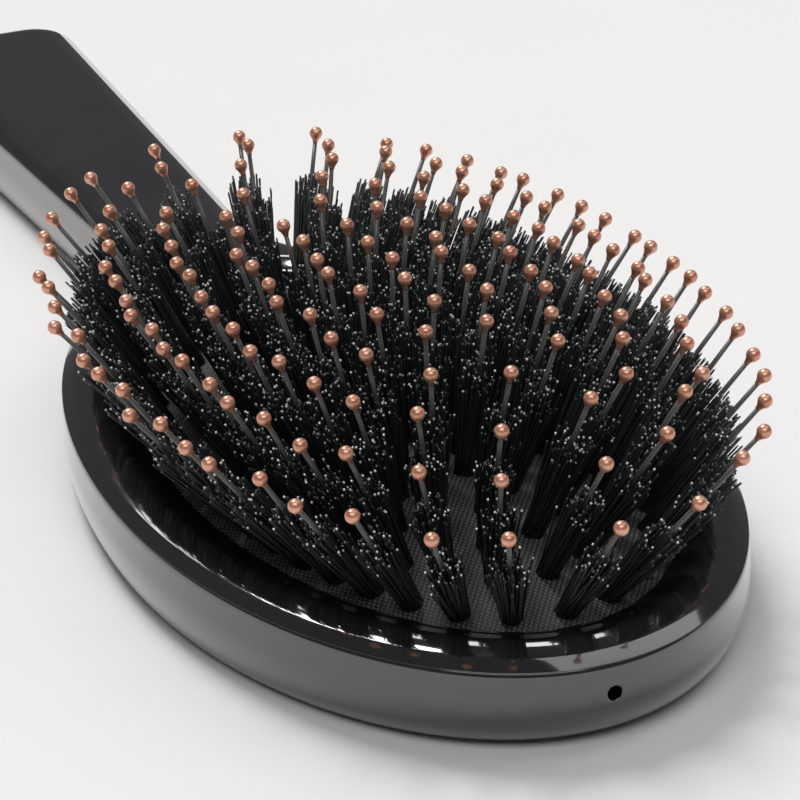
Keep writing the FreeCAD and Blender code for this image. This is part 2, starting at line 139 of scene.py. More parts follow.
def half_outline(inset, toe_inset=0.0):
    """Right half of the brush from above, from toe to butt, one row for each inset: a quarter oval round the
    toe, part of a quarter oval into the neck, the hollow curve, the straight side, the corner and half the
    end."""
    inset, toe_inset = column(inset), column(toe_inset)
    angle, middle, normal, side, outward = neck_touch(inset[:, 0])
    turn = np.linspace(0, np.pi / 2, TOE_POINTS, endpoint=False)
    toe = np.stack([(HALF_WIDTH - inset) * np.sin(turn), -(TOE - inset - toe_inset) * np.cos(turn)], -1)
    turn = np.linspace(0, 1, NECK_POINTS, endpoint=False) * angle
    neck = np.stack([(HALF_WIDTH - inset) * np.cos(turn), (NECK - inset) * np.sin(turn)], -1)
    first = np.arctan2(-normal[..., 1], -normal[..., 0])
    last = np.arctan2(-outward[1], -outward[0])
    swing = (last - first + np.pi) % (2 * np.pi) - np.pi
    turn = first + swing * np.linspace(0, 1, HOLLOW_POINTS, endpoint=False)
    hollow = middle + (NECK_RADIUS + inset)[..., None] * np.stack([np.cos(turn), np.sin(turn)], -1)
    side_start = middle - outward * (NECK_RADIUS + inset)[..., None]
    end_level = BUTT - inset
    corner_radius = np.maximum(BUTT_CORNER - inset, LEAST_CORNER)
    corner_x = BUTT_HALF_WIDTH - inset
    tangent = corner_radius * np.tan(np.arccos(-side[0]) / 2)
    side_end = np.stack([corner_x - side[0] * tangent, end_level - side[1] * tangent], -1)
    steps = np.linspace(0, 1, SIDE_POINTS, endpoint=False)[:, None]
    straight = side_start + (side_end - side_start) * steps
    turn = np.linspace(np.arctan2(outward[1], outward[0]), np.pi / 2, CORNER_POINTS, endpoint=False)
    corner = side_end - outward * corner_radius[..., None]
    corner = corner + corner_radius[..., None] * np.stack([np.cos(turn), np.sin(turn)], -1)
    end_x = (corner_x - tangent) * np.linspace(1, 0, END_POINTS)
    end = np.stack([end_x, np.broadcast_to(end_level, end_x.shape)], -1)
    return np.concatenate([toe, neck, hollow, straight, corner, end], 1)


def loops(half, level):
    """Closed loops from right halves: each is mirrored to the left, and set at its level."""
    left = half[:, -2:0:-1] * np.array([-1.0, 1.0])
    flat = np.concatenate([half, left], 1)
    height = np.broadcast_to(column(level)[..., None], flat.shape[:2] + (1,))
    return np.concatenate([flat, height], -1)


def skin(rows, columns, start=0, flip=False):
    """Quads of a grid of closed rows, numbered from start: an array of rows by columns by four corners."""
    row, place = np.meshgrid(np.arange(rows - 1), np.arange(columns), indexing="ij")
    after = (place + 1) % columns
    quads = np.stack([row * columns + place, row * columns + after,
                      (row + 1) * columns + after, (row + 1) * columns + place], -1) + start
    return quads[..., ::-1] if flip else quads


def band(before, beyond):
    """Quads between two closed rings of point numbers: each number, the next, and the two beyond them."""
    return np.stack([before, np.roll(before, -1), np.roll(beyond, -1), beyond], -1)


def made(name, points, faces):
    """A smooth mesh object of these points and faces, with its place in its mesh."""
    mesh = bpy.data.meshes.new(name)
    mesh.from_pydata(points.reshape(-1, 3).tolist(), [], faces)
    mesh.shade_smooth()
    mesh.validate()
    piece = bpy.data.objects.new(name, mesh)
    bpy.context.scene.collection.objects.link(piece)
    return piece


def side_inset(level):
    """How far the side lies in from its widest line, and how much further at the toe: a quarter ellipse from
    the surface up to ROUND_RISE, then a straight draft to the seam."""
    left = np.clip(1 - level / ROUND_RISE, 0, 1)
    share = 1 - np.sqrt(1 - left ** 2)
    draft = np.clip((level - ROUND_RISE) / (SEAM - ROUND_RISE), 0, 1)
    return SIDE_ROUND * share + SEAM_INSET * draft, TOE_ROUND * share


def toe_wall(across, level, inward):
    """Points of the toe's wall at places across and up: the toe's half oval at that level's inset."""
    inset, toe_inset = side_inset(level)
    share = across / (HALF_WIDTH - inset - inward)
    depth = (TOE - inset - toe_inset - inward) * np.sqrt(1 - share ** 2)
    return np.stack([across, -depth, level], -1)


turn = np.linspace(0, np.pi / 2, ROUND_ROWS)
straight = np.linspace(ROUND_RISE, SEAM - SEAM_CHAMFER, STRAIGHT_ROWS + 1)[1:]
outer_levels = np.concatenate([ROUND_RISE * (1 - np.cos(turn)), straight])
outer_inset, outer_toe = side_inset(outer_levels)
inner_levels = np.concatenate([[SEAM], outer_levels[outer_levels > TRAY_FLOOR][-2::-1], [TRAY_FLOOR]])
inner_inset, inner_toe = side_inset(inner_levels)
insets = np.concatenate([outer_inset, [SEAM_INSET + SEAM_CHAMFER], inner_inset + WALL])
toe_insets = np.concatenate([outer_toe, [0.0], inner_toe])
levels = np.concatenate([outer_levels, [SEAM], inner_levels])
tray = loops(half_outline(insets, toe_insets), levels)
rows, columns = tray.shape[:2]
quads = skin(rows, columns)

# For the air hole, both faces of the wall leave out a patch of quads. Rings of points lead from the patch's
# border to a circle, the outer circle has a small lip, and a last band joins both through the wall.
near_vent = np.arange(-VENT_COLUMNS, VENT_COLUMNS + 1) % columns
vent_rings = []
vent_faces = []
points = [tray.reshape(-1, 3)]
count = rows * columns
kept = np.ones(quads.shape[:2], bool)
for outside in (True, False):
    side_rows = np.flatnonzero((abs(levels - VENT_LEVEL) < VENT_PATCH)
                               & ((np.arange(rows) < len(outer_levels)) == outside))
    order = side_rows if outside else side_rows[::-1]
    kept[np.ix_(np.arange(side_rows[0], side_rows[-1]), near_vent[:-1])] = False
    border = np.concatenate([order[0] * columns + near_vent,
                             order[1:] * columns + near_vent[-1],
                             order[-1] * columns + near_vent[-2::-1],
                             order[-2:0:-1] * columns + near_vent[0]])
    across, level = tray.reshape(-1, 3)[border][:, [0, 2]].T
    around = np.linspace(0, 2 * np.pi, len(border), endpoint=False)
    around += np.arctan2(level[0] - VENT_LEVEL, across[0])
    ring = np.stack([np.cos(around), np.sin(around)]) * (VENT_RADIUS + VENT_LIP)
    inward = 0.0 if outside else WALL
    ring *= 1.0 if outside else VENT_FLARE
    rings = []
    for share in VENT_STEPS:
        spot = ring * (1 - share) + np.stack([across, level - VENT_LEVEL]) * share
        rings.append(toe_wall(spot[0], spot[1] + VENT_LEVEL, inward))
    if outside:
        throat = rings[-1].copy()
        throat[:, [0, 2]] = ring.T * VENT_RADIUS / (VENT_RADIUS + VENT_LIP) + [0, VENT_LEVEL]
        throat[:, 1] += VENT_LIP
        rings.append(throat)
    numbers = count + np.arange(len(rings) * len(border)).reshape(len(rings), -1)
    count += numbers.size
    points += rings
    between = [border, *numbers]
    for before, beyond in zip(between, between[1:]):
        strip = band(before, beyond)
        vent_faces.append(strip if outside else strip[:, ::-1])
    vent_rings.append(between[-1])
vent_faces.append(band(*vent_rings))

faces = quads[kept].tolist() + np.concatenate(vent_faces).tolist()
faces.append(np.arange(columns)[::-1].tolist())
faces.append((np.arange(columns) + (rows - 1) * columns).tolist())
back_cover = made("back_cover", np.concatenate(points), faces)


def new_finish(name):
    """A new material with its tree, its shader and a texture coordinate node."""
    material = bpy.data.materials.new(name)
    material.use_nodes = True
    tree = material.node_tree
    return material, tree, tree.nodes["Principled BSDF"], tree.nodes.new("ShaderNodeTexCoord")


def noise(tree, place, scale, detail=3.0, roughness=0.5):
    """Cloudy noise at a place: layers up to detail, each twice as fine and weaker by the roughness."""
    node = tree.nodes.new("ShaderNodeTexNoise")
    node.inputs["Scale"].default_value = scale
    node.inputs["Detail"].default_value = detail
    node.inputs["Roughness"].default_value = roughness
    tree.links.new(place, node.inputs["Vector"])
    return node.outputs["Fac"]


def ranged(tree, value, low, high, start=0.0, end=1.0):
    """A value that goes from start to end, carried in a straight line to low to high."""
    node = tree.nodes.new("ShaderNodeMapRange")
    for socket, number in zip(("From Min", "From Max", "To Min", "To Max"), (start, end, low, high)):
        node.inputs[socket].default_value = number
    tree.links.new(value, node.inputs["Value"])
    return node.outputs["Result"]


def bumped(tree, shader, height, strength, distance):
    """Tilts the shader's normal by the slope of a height, which counts in units of the distance."""
    node = tree.nodes.new("ShaderNodeBump")
    node.inputs["Strength"].default_value = strength
    node.inputs["Distance"].default_value = distance
    tree.links.new(height, node.inputs["Height"])
    tree.links.new(node.outputs["Normal"], shader.inputs["Normal"])


def gloss_black():
    """Polished black plastic: a clear coat over black, roughness from a noise for faint rubbed patches, and
    a finer noise as the slight ripple of a moulding."""
    material, tree, shader, place = new_finish("gloss_black")
    shader.inputs["Base Color"].default_value = GLOSS_BLACK
    shader.inputs["IOR"].default_value = 1.75
    shader.inputs["Coat Weight"].default_value = 1.0
    shader.inputs["Coat IOR"].default_value = 1.55
    shader.inputs["Coat Roughness"].default_value = 0.03
    rubbed = noise(tree, place.outputs["Object"], scale=60.0, detail=4.0, roughness=0.6)
    patches = ranged(tree, rubbed, low=0.06, high=0.14, start=0.35, end=0.7)
    tree.links.new(patches, shader.inputs["Roughness"])
    ripple = noise(tree, place.outputs["Object"], scale=220.0, detail=2.0)
    bumped(tree, shader, ripple, strength=0.05, distance=0.0002)
    return material


shell_gloss = gloss_black()
back_cover.data.materials.append(shell_gloss)
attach(back_cover, "shells")
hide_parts("back_shell")

# Front shell: the rim round the cushion and the flat top of the handle, in the same gloss black plastic.
# From the seam a slightly bulged bevel leads over a round edge to a low crest, which slopes down inside to
# the cushion. It is pegged and welded to the back shell.

TOP = front_high.z
BEVEL_WIDTH = 0.00185
BEVEL_RISE = 0.00125
SEAM_EDGE = 0.00006
BEVEL_BULGE = 0.12
BEVEL_ROWS = 6
EDGE_ROUND = 0.0004
CREST_ROUND = 0.0013
EDGE_ROWS = 10
CREST_WIDTH = 0.0023
OPENING_INSET = 0.0082
OPENING_LIP = 0.0006
CREST_ROWS = 10
SLOPE_ROWS = 14
OVAL_END_POINTS = 24
JOIN_REACH = 1e-7

bevel_inset = SEAM_INSET + BEVEL_WIDTH
crest_inset = bevel_inset + CREST_WIDTH
crest_rise = TOP - SEAM - BEVEL_RISE


def crest_level(share):
    """Level of the crest at a share of its width: a parabola from the bevel's top that ends level."""
    return SEAM + BEVEL_RISE + crest_rise * (1 - (1 - share) ** 2)


# The rim's profile from the seam inwards: the bevel bulges by a parabola over its straight line, and a
# quadratic curve with its middle point at the sharp corner rounds the edge between bevel and crest.
share = np.linspace(SEAM_EDGE, BEVEL_WIDTH - EDGE_ROUND, BEVEL_ROWS) / BEVEL_WIDTH
share = np.concatenate([[0.0], share])
bulged = share + BEVEL_BULGE * share * (1 - share)
bevel = np.stack([SEAM_INSET + BEVEL_WIDTH * share,
                  SEAM + SEAM_CHAMFER + (BEVEL_RISE - SEAM_CHAMFER) * bulged], -1)
edge_share = CREST_ROUND / CREST_WIDTH
corner = np.array([bevel_inset, SEAM + BEVEL_RISE])
beyond = np.array([bevel_inset + CREST_ROUND, crest_level(edge_share)])
share = np.linspace(0, 1, EDGE_ROWS)[1:, None]
edge = bevel[-1] * (1 - share) ** 2 + corner * 2 * share * (1 - share) + beyond * share ** 2
across = np.linspace(edge_share, 1, CREST_ROWS)[1:]
crest = np.stack([bevel_inset + CREST_WIDTH * across, crest_level(across)], -1)
seam = np.array([[crest_inset, SEAM], [SEAM_INSET + SEAM_CHAMFER, SEAM]])
rim_insets, rim_levels = np.concatenate([seam, bevel, edge, crest]).T
rim = loops(half_outline(rim_insets), rim_levels)


def half_oval(inset):
    """Right half of the head's oval for each inset, toe to neck: two quarter ovals, the second divided where
    the handle leaves the crest."""
    inset = column(inset)
    split = neck_touch(crest_inset)[0]
    turn = np.linspace(0, np.pi / 2, TOE_POINTS, endpoint=False)
    toe = np.stack([(HALF_WIDTH - inset) * np.sin(turn), -(TOE - inset) * np.cos(turn)], -1)
    turn = np.concatenate([np.linspace(0, 1, NECK_POINTS, endpoint=False) * split[0],
                           np.linspace(split[0, 0], np.pi / 2, OVAL_END_POINTS)])
    neck = np.stack([(HALF_WIDTH - inset) * np.cos(turn), (NECK - inset) * np.sin(turn)], -1)
    return np.concatenate([toe, neck], 1)


# The inner slope is an S-curve from the lip of the opening up to the crest.
across = np.linspace(0, 1, SLOPE_ROWS)
slope_insets = OPENING_INSET - (OPENING_INSET - crest_inset) * across
slope_levels = SEAM + OPENING_LIP + (TOP - SEAM - OPENING_LIP) * across ** 2 * (3 - 2 * across)
slope_insets = np.concatenate([[crest_inset, OPENING_INSET], slope_insets])
slope_levels = np.concatenate([[SEAM, SEAM], slope_levels])
slope = loops(half_oval(slope_insets), slope_levels)

rim_rows, rim_columns = rim.shape[:2]
slope_rows, slope_columns = slope.shape[:2]
slope_start = rim_rows * rim_columns
faces = skin(rim_rows, rim_columns).reshape(-1, 4).tolist()
faces += skin(slope_rows, slope_columns, slope_start, flip=True).reshape(-1, 4).tolist()
leaves = TOE_POINTS + NECK_POINTS
handle_part = np.arange(leaves, rim_columns - leaves + 1)
neck_part = np.arange(slope_columns - leaves - 1, leaves, -1)
top_face = np.concatenate([(rim_rows - 1) * rim_columns + handle_part,
                           slope_start + (slope_rows - 1) * slope_columns + neck_part])
under_face = np.concatenate([handle_part, slope_start + neck_part])[::-1]
faces += [top_face.tolist(), under_face.tolist()]
front_cover = made("front_cover", np.concatenate([rim.reshape(-1, 3), slope.reshape(-1, 3)]), faces)


def joined(piece):
    """Joins the points of a piece that lie in one place, so that its seams are closed."""
    work = bmesh.new()
    work.from_mesh(piece.data)
    bmesh.ops.remove_doubles(work, verts=work.verts, dist=JOIN_REACH)
    work.to_mesh(piece.data)
    work.free()


joined(front_cover)
front_cover.data.materials.append(shell_gloss)
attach(front_cover, "shells")
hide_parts("front_shell")

# Clamp ring and root plugs: hidden mouldings that hold the cushion's lip and the tufts from below.
# They keep their CAD shapes and get a plain black moulded finish.

HIDDEN_BLACK = (0.02, 0.02, 0.021, 1)


def moulded_black():
    """Plain black moulding: one fine noise gives an even grain and a little sheen."""
    material, tree, shader, place = new_finish("moulded_black")
    shader.inputs["Base Color"].default_value = HIDDEN_BLACK
    grain = noise(tree, place.outputs["Object"], scale=900.0, detail=2.0)
    tree.links.new(ranged(tree, grain, low=0.4, high=0.6), shader.inputs["Roughness"])
    bumped(tree, shader, grain, strength=0.1, distance=0.00005)
    return material


RINGS = [name for name in frame["bodies"] if name != "shells"]
hidden_black = moulded_black()
for node in ["clamp_ring"] + [f"{ring}_roots" for ring in RINGS]:
    frame["nodes"][node].data.materials.clear()
    frame["nodes"][node].data.materials.append(hidden_black)

# Cushion: a dark grey rubber sheet with a fine woven face, crowned over an air space.
# It fills the oval opening and its lip is clamped under the rim; the real cushion flattens when the tufts
# are pressed, but this sheet keeps its crowned shape.

SOFT_GAP = 0.00035
CUSHION_WALL = SEAM - cushion_low.z
CROWN = cushion_high.z - SEAM
DOME_RINGS = 28
DOME_POINTS = 160
INNER_RING = 0.04
LIP_DROP = 0.00002
WEAVE_ACROSS = 0.00033
WEAVE_ALONG = 0.00046
CROSSING_HEIGHT = 0.7
THREAD_HEIGHT = 0.15
# Painted shade for the weave's grooves and painted light for its raised threads.
WEAVE_GROOVE_SHADE = (0.017, 0.017, 0.0185, 1)
WEAVE_THREAD_LIGHT = (0.145, 0.145, 0.15, 1)

# The dome falls from its crown by the square of the reach. Its underside is the same sheet, one wall lower.
dome_inset = OPENING_INSET + SOFT_GAP
turn = np.linspace(0, 2 * np.pi, DOME_POINTS, endpoint=False) - np.pi / 2
oval_x = np.cos(turn)
oval_y = np.sin(turn)
reach = np.concatenate([np.linspace(INNER_RING, 1, DOME_RINGS), [1.0]])
dome_x = (HALF_WIDTH - dome_inset) * reach[:, None] * oval_x
dome_y = np.where(oval_y < 0, TOE - dome_inset, NECK - dome_inset) * reach[:, None] * oval_y
dome_z = SEAM + CROWN * np.repeat((1 - reach ** 2)[:, None], len(turn), 1)
upper = np.stack([dome_x, dome_y, dome_z], -1)
lip = np.stack([(HALF_WIDTH - LIP_INSET) * oval_x,
                np.where(oval_y < 0, TOE - LIP_INSET, NECK - LIP_INSET) * oval_y,
                np.full_like(oval_x, SEAM - LIP_DROP)], -1)[None]
upper[-1, :, 2] = SEAM - LIP_DROP
below = np.concatenate([upper, lip])[::-1] - [0, 0, CUSHION_WALL]
sheet = np.concatenate([upper, lip, below])
rows, columns = sheet.shape[:2]
faces = skin(rows, columns, flip=True).reshape(-1, 4).tolist()
pole = rows * columns
first = np.arange(columns)
faces += np.stack([first, np.roll(first, -1), np.full(columns, pole)], -1).tolist()
last = (rows - 1) * columns + first
faces += np.stack([np.roll(last, -1), last, np.full(columns, pole + 1)], -1).tolist()
poles = np.array([[0, 0, SEAM + CROWN], [0, 0, SEAM + CROWN - CUSHION_WALL]])
cushion_face = made("cushion_face", np.concatenate([sheet.reshape(-1, 3), poles]), faces)


def maths(tree, operation, first, second=None):
    """One operation on one or two values, each a number or another node's value."""
    node = tree.nodes.new("ShaderNodeMath")
    node.operation = operation
    for socket, value in zip(node.inputs, (first, second)):
        if isinstance(value, (int, float)):
            socket.default_value = value
        elif value is not None:
            tree.links.new(value, socket)
    return node.outputs["Value"]


def tinted(tree, shader, value, dark, light):
    """Base colour in a straight line from dark to light by a value."""
    node = tree.nodes.new("ShaderNodeMix")
    node.data_type = "RGBA"
    node.inputs["A"].default_value = dark
    node.inputs["B"].default_value = light
    tree.links.new(value, node.inputs["Factor"])
    tree.links.new(node.outputs["Result"], shader.inputs["Base Color"])


def woven_rubber():
    """Plain weave: the product of a sine across and a sine along lifts one thread of each crossing and sinks
    the other, less a cosine at twice their pace for the grooves between threads. The base colour follows the
    same height: painted shade in the grooves and painted light on the raised threads."""
    material, tree, shader, place = new_finish("woven_rubber")
    split = tree.nodes.new("ShaderNodeSeparateXYZ")
    tree.links.new(place.outputs["Object"], split.inputs["Vector"])
    across = maths(tree, "MULTIPLY", split.outputs["X"], np.pi / WEAVE_ACROSS)
    along = maths(tree, "MULTIPLY", split.outputs["Y"], np.pi / WEAVE_ALONG)
    crossing = maths(tree, "MULTIPLY", maths(tree, "SINE", across), maths(tree, "SINE", along))
    threads = maths(tree, "ADD", maths(tree, "COSINE", maths(tree, "MULTIPLY", across, 2.0)),
                    maths(tree, "COSINE", maths(tree, "MULTIPLY", along, 2.0)))
    height = maths(tree, "SUBTRACT", maths(tree, "MULTIPLY", crossing, CROSSING_HEIGHT),
                   maths(tree, "MULTIPLY", threads, THREAD_HEIGHT))
    # Painted light and shade: the base colour is lighter on the raised threads and darker in the grooves, by
    # the weave's height.
    painted_thread_light = ranged(tree, height, low=0.0, high=1.0, start=-0.3, end=0.8)
    tinted(tree, shader, painted_thread_light, WEAVE_GROOVE_SHADE, WEAVE_THREAD_LIGHT)
    shader.inputs["Roughness"].default_value = 0.62
    shader.inputs["Sheen Weight"].default_value = 0.15
    bumped(tree, shader, height, strength=0.9, distance=0.00012)
    return material


cushion_face.data.materials.append(woven_rubber())
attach(cushion_face, "shells")
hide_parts("cushion")
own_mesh(cushion_face)

# Pins: one smooth dark nylon pin in each tuft, drawn thinner towards its ball tip.
# Each stands where its CAD pin stands, fanned outwards, and a root plug under the cushion holds it.

PIN_SIDES = 10
PIN_ROOT_RADIUS = 0.00037
PIN_END_RADIUS = 0.00026
PIN_SHARES = np.array([0.0, 0.4, 0.7, 1.0])
# Painted shade at the pin's root and painted light towards its ball tip.
NYLON_SHADED_ROOT = (0.022, 0.0215, 0.021, 1)
NYLON_LIT_TOP = (0.125, 0.121, 0.117, 1)
TOP_LIGHT_POWER = 2.5
MICRONS = 1e6


def solids_of(node):
    """The points of each solid of a CAD node. Points in one place count as one, and each takes the lowest
    number that its edges reach, over and over, until no number changes."""
    mesh = frame["nodes"][node].data
    points = np.empty(len(mesh.vertices) * 3, np.float32)
    mesh.vertices.foreach_get("co", points)
    points = points.reshape(-1, 3).astype(float)
    edges = np.empty(len(mesh.edges) * 2, np.int32)
    mesh.edges.foreach_get("vertices", edges)
    places = np.round(points * MICRONS).astype(np.int64)
    same = np.unique(places, axis=0, return_inverse=True)[1].ravel()
    one, other = same[edges.reshape(-1, 2)].T
    number = np.arange(same.max() + 1)
    while True:
        lowest = np.minimum(number[one], number[other])
        reached = number.copy()
        np.minimum.at(reached, one, lowest)
        np.minimum.at(reached, other, lowest)
        reached = reached[reached]
        if (reached == number).all():
            break
        number = reached
    solid = number[same]
    first = np.sort(np.unique(solid, return_index=True)[1])
    return [points[solid == solid[place]] for place in first]


def stands(ring):
    """Lower ends, directions and lengths of a ring's pins: each pin's direction is its points' longest
    spread."""
    lower, direction, length = [], [], []
    for points in solids_of(f"{ring}_pins"):
        middle = (points.min(0) + points.max(0)) / 2
        spread = np.linalg.svd(points - points.mean(0), full_matrices=False)[2][0]
        spread *= np.sign(spread[2])
        along = (points - middle) @ spread
        lower.append(middle + spread * along.min())
        direction.append(spread)
        length.append(along.max() - along.min())
    return np.array(lower), np.array(direction), np.array(length)


def cross_axes(direction):
    """Two directions square to each direction and to each other: its cross product with +Y, made one long,
    and its cross product with that."""
    first = np.cross(direction, [0.0, 1.0, 0.0])
    first /= np.linalg.norm(first, axis=-1, keepdims=True)
    return first, np.cross(direction, first)


def tube_faces(copies, rows, sides):
    """Faces of many tubes of closed rows: the quads of all copies, then both ends of each."""
    start = np.arange(copies)[:, None, None] * rows * sides
    faces = (skin(rows, sides).reshape(-1, 4)[None] + start).reshape(-1, 4).tolist()
    ends = np.stack([np.arange(sides)[::-1], np.arange(sides) + (rows - 1) * sides])
    return faces + (ends[None] + start).reshape(-1, sides).tolist()


def lathed(foot, direction, profile, sides):
    """A profile of radii and heights turned round each direction: points as copies by rows by sides, and
    their faces with both ends closed."""
    first, second = cross_axes(direction)
    around = np.linspace(0, 2 * np.pi, sides, endpoint=False)
    ring = (first[:, None, None] * np.cos(around)[None, None, :, None]
            + second[:, None, None] * np.sin(around)[None, None, :, None])
    radius, height = profile[..., 0], profile[..., 1]
    points = (foot[:, None, None] + direction[:, None, None] * height[..., None, None]
              + ring * radius[..., None, None])
    return points, tube_faces(*points.shape[:2], sides)


def nylon():
    """Dark nylon, a little clear: greyer than the bristles, with painted light that pales it by a power of
    the way up to its thin end and painted shade at its root among the bristles, and slightly cloudy by a
    noise."""
    material, tree, shader, place = new_finish("pin_nylon")
    attribute = tree.nodes.new("ShaderNodeAttribute")
    attribute.attribute_name = "way_up"
    cloud = noise(tree, place.outputs["Object"], scale=400.0, detail=2.0)
    # Painted light: the pin's colour pales by a power of the way up, lit at the top and shaded at the root.
    top_light_share = maths(tree, "POWER", attribute.outputs["Fac"], TOP_LIGHT_POWER)
    painted_top_light = maths(tree, "MULTIPLY", top_light_share, ranged(tree, cloud, low=0.7, high=1.1))
    tinted(tree, shader, painted_top_light, NYLON_SHADED_ROOT, NYLON_LIT_TOP)
    shader.inputs["Roughness"].default_value = 0.28
    shader.inputs["Subsurface Weight"].default_value = 0.15
    shader.inputs["Subsurface Radius"].default_value = (0.001, 0.001, 0.001)
    shader.inputs["Subsurface Scale"].default_value = 0.5
    return material


pin_nylon = nylon()
pin_radii = PIN_ROOT_RADIUS + (PIN_END_RADIUS - PIN_ROOT_RADIUS) * PIN_SHARES
ring_stands = {ring: stands(ring) for ring in RINGS}
for ring in RINGS:
    lower, direction, length = ring_stands[ring]
    heights = length[:, None] * PIN_SHARES
    profile = np.stack([np.broadcast_to(pin_radii, heights.shape), heights], -1)
    points, faces = lathed(lower, direction, profile, PIN_SIDES)
    pins = made(f"{ring}_nylon_pins", points, faces)
    way_up = np.broadcast_to(PIN_SHARES[:, None], points.shape[:3]).astype(np.float32)
    pins.data.attributes.new("way_up", "FLOAT", "POINT").data.foreach_set("value", way_up.ravel())
    pins.data.materials.append(pin_nylon)
    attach(pins, ring)
    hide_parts(f"{ring}_pins")

# Ball tips: satin copper-coloured balls, drawn in to a short collar that grips the pin's end.
# The collar narrows in a hollow curve from the ball down to the pin.

TIP_SIDES = 12
BALL_RADIUS = 0.00083
BALL_ROWS = 7
BALL_FOOT = np.radians(-48)
BALL_CROWN = np.radians(82)
COLLAR_DROP = 0.00128
COLLAR_RADIUS = 0.00031
COLLAR_ROWS = 3
COLLAR_HOLLOW = 1.6
COPPER_DEEP = (0.66, 0.29, 0.19, 1)
COPPER_PALE = (0.88, 0.47, 0.33, 1)


def copper():
    """Copper-coloured metallic coat: satin, with one noise for slight blotches of tone, gloss and height."""
    material, tree, shader, place = new_finish("copper_coat")
    blotch = noise(tree, place.outputs["Object"], scale=700.0, detail=3.0, roughness=0.6)
    tone = ranged(tree, blotch, low=0.0, high=1.0, start=0.3, end=0.7)
    tinted(tree, shader, tone, COPPER_DEEP, COPPER_PALE)
    shader.inputs["Metallic"].default_value = 0.6
    tree.links.new(ranged(tree, blotch, low=0.24, high=0.38), shader.inputs["Roughness"])
    bumped(tree, shader, blotch, strength=0.12, distance=0.0001)
    return material


copper_coat = copper()
polar = np.linspace(BALL_FOOT, BALL_CROWN, BALL_ROWS)
ball_profile = BALL_RADIUS * np.stack([np.cos(polar), np.sin(polar)], -1)
rise = np.linspace(0, 1, COLLAR_ROWS, endpoint=False)
collar_profile = np.stack([COLLAR_RADIUS + (ball_profile[0, 0] - COLLAR_RADIUS) * rise ** COLLAR_HOLLOW,
                           -COLLAR_DROP + (ball_profile[0, 1] + COLLAR_DROP) * rise], -1)
tip_profile = np.concatenate([collar_profile, ball_profile])
for ring in RINGS:
    lower, direction, length = ring_stands[ring]
    centre = lower + direction * length[:, None]
    profile = np.broadcast_to(tip_profile, (len(lower),) + tip_profile.shape)
    points, faces = lathed(centre, direction, profile, TIP_SIDES)
    tips = made(f"{ring}_copper_tips", points, faces)
    tips.data.materials.append(copper_coat)
    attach(tips, ring)
    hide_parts(f"{ring}_tips")

# Tufts: bundles of stiff black bristles that go through the cushion round each pin and flare upwards.
# Their ends are cut square, and many of them carry a pale painted glint.

BRISTLES = 84
BRISTLE_RADIUS = 0.00013
BRISTLE_SIDES = 4
BRISTLE_STEPS = np.array([0.0, 0.35, 0.7, 1.0])
FLARE_POWER = 1.35
FOOT_BAND = 1e-5
SUNK = 0.0023
END_SWING = 0.25
END_SPREAD = 1.2
END_SCATTER = 0.16
LEAST_SPREAD = 0.12
MOST_SPREAD = 1.4
TALLEST = 1.14
DOMED = 0.05
RAGGED = 0.32
RAGGED_POWER = 0.9
CUT_LENGTH = 0.00026
SHINING = 0.42
SHINE_SHAPE = (0.8, 0.6)
DULL_END = 0.02
BRISTLE_BLACK = (0.026, 0.0285, 0.0285, 1)
# Painted glint: the pale colour that the shining cut ends get.
CUT_END_GLINT = (0.92, 0.92, 0.91, 1)
GOLDEN_TURN = np.pi * (3 - np.sqrt(5))
ANY_TURN = 7
SEED = 11


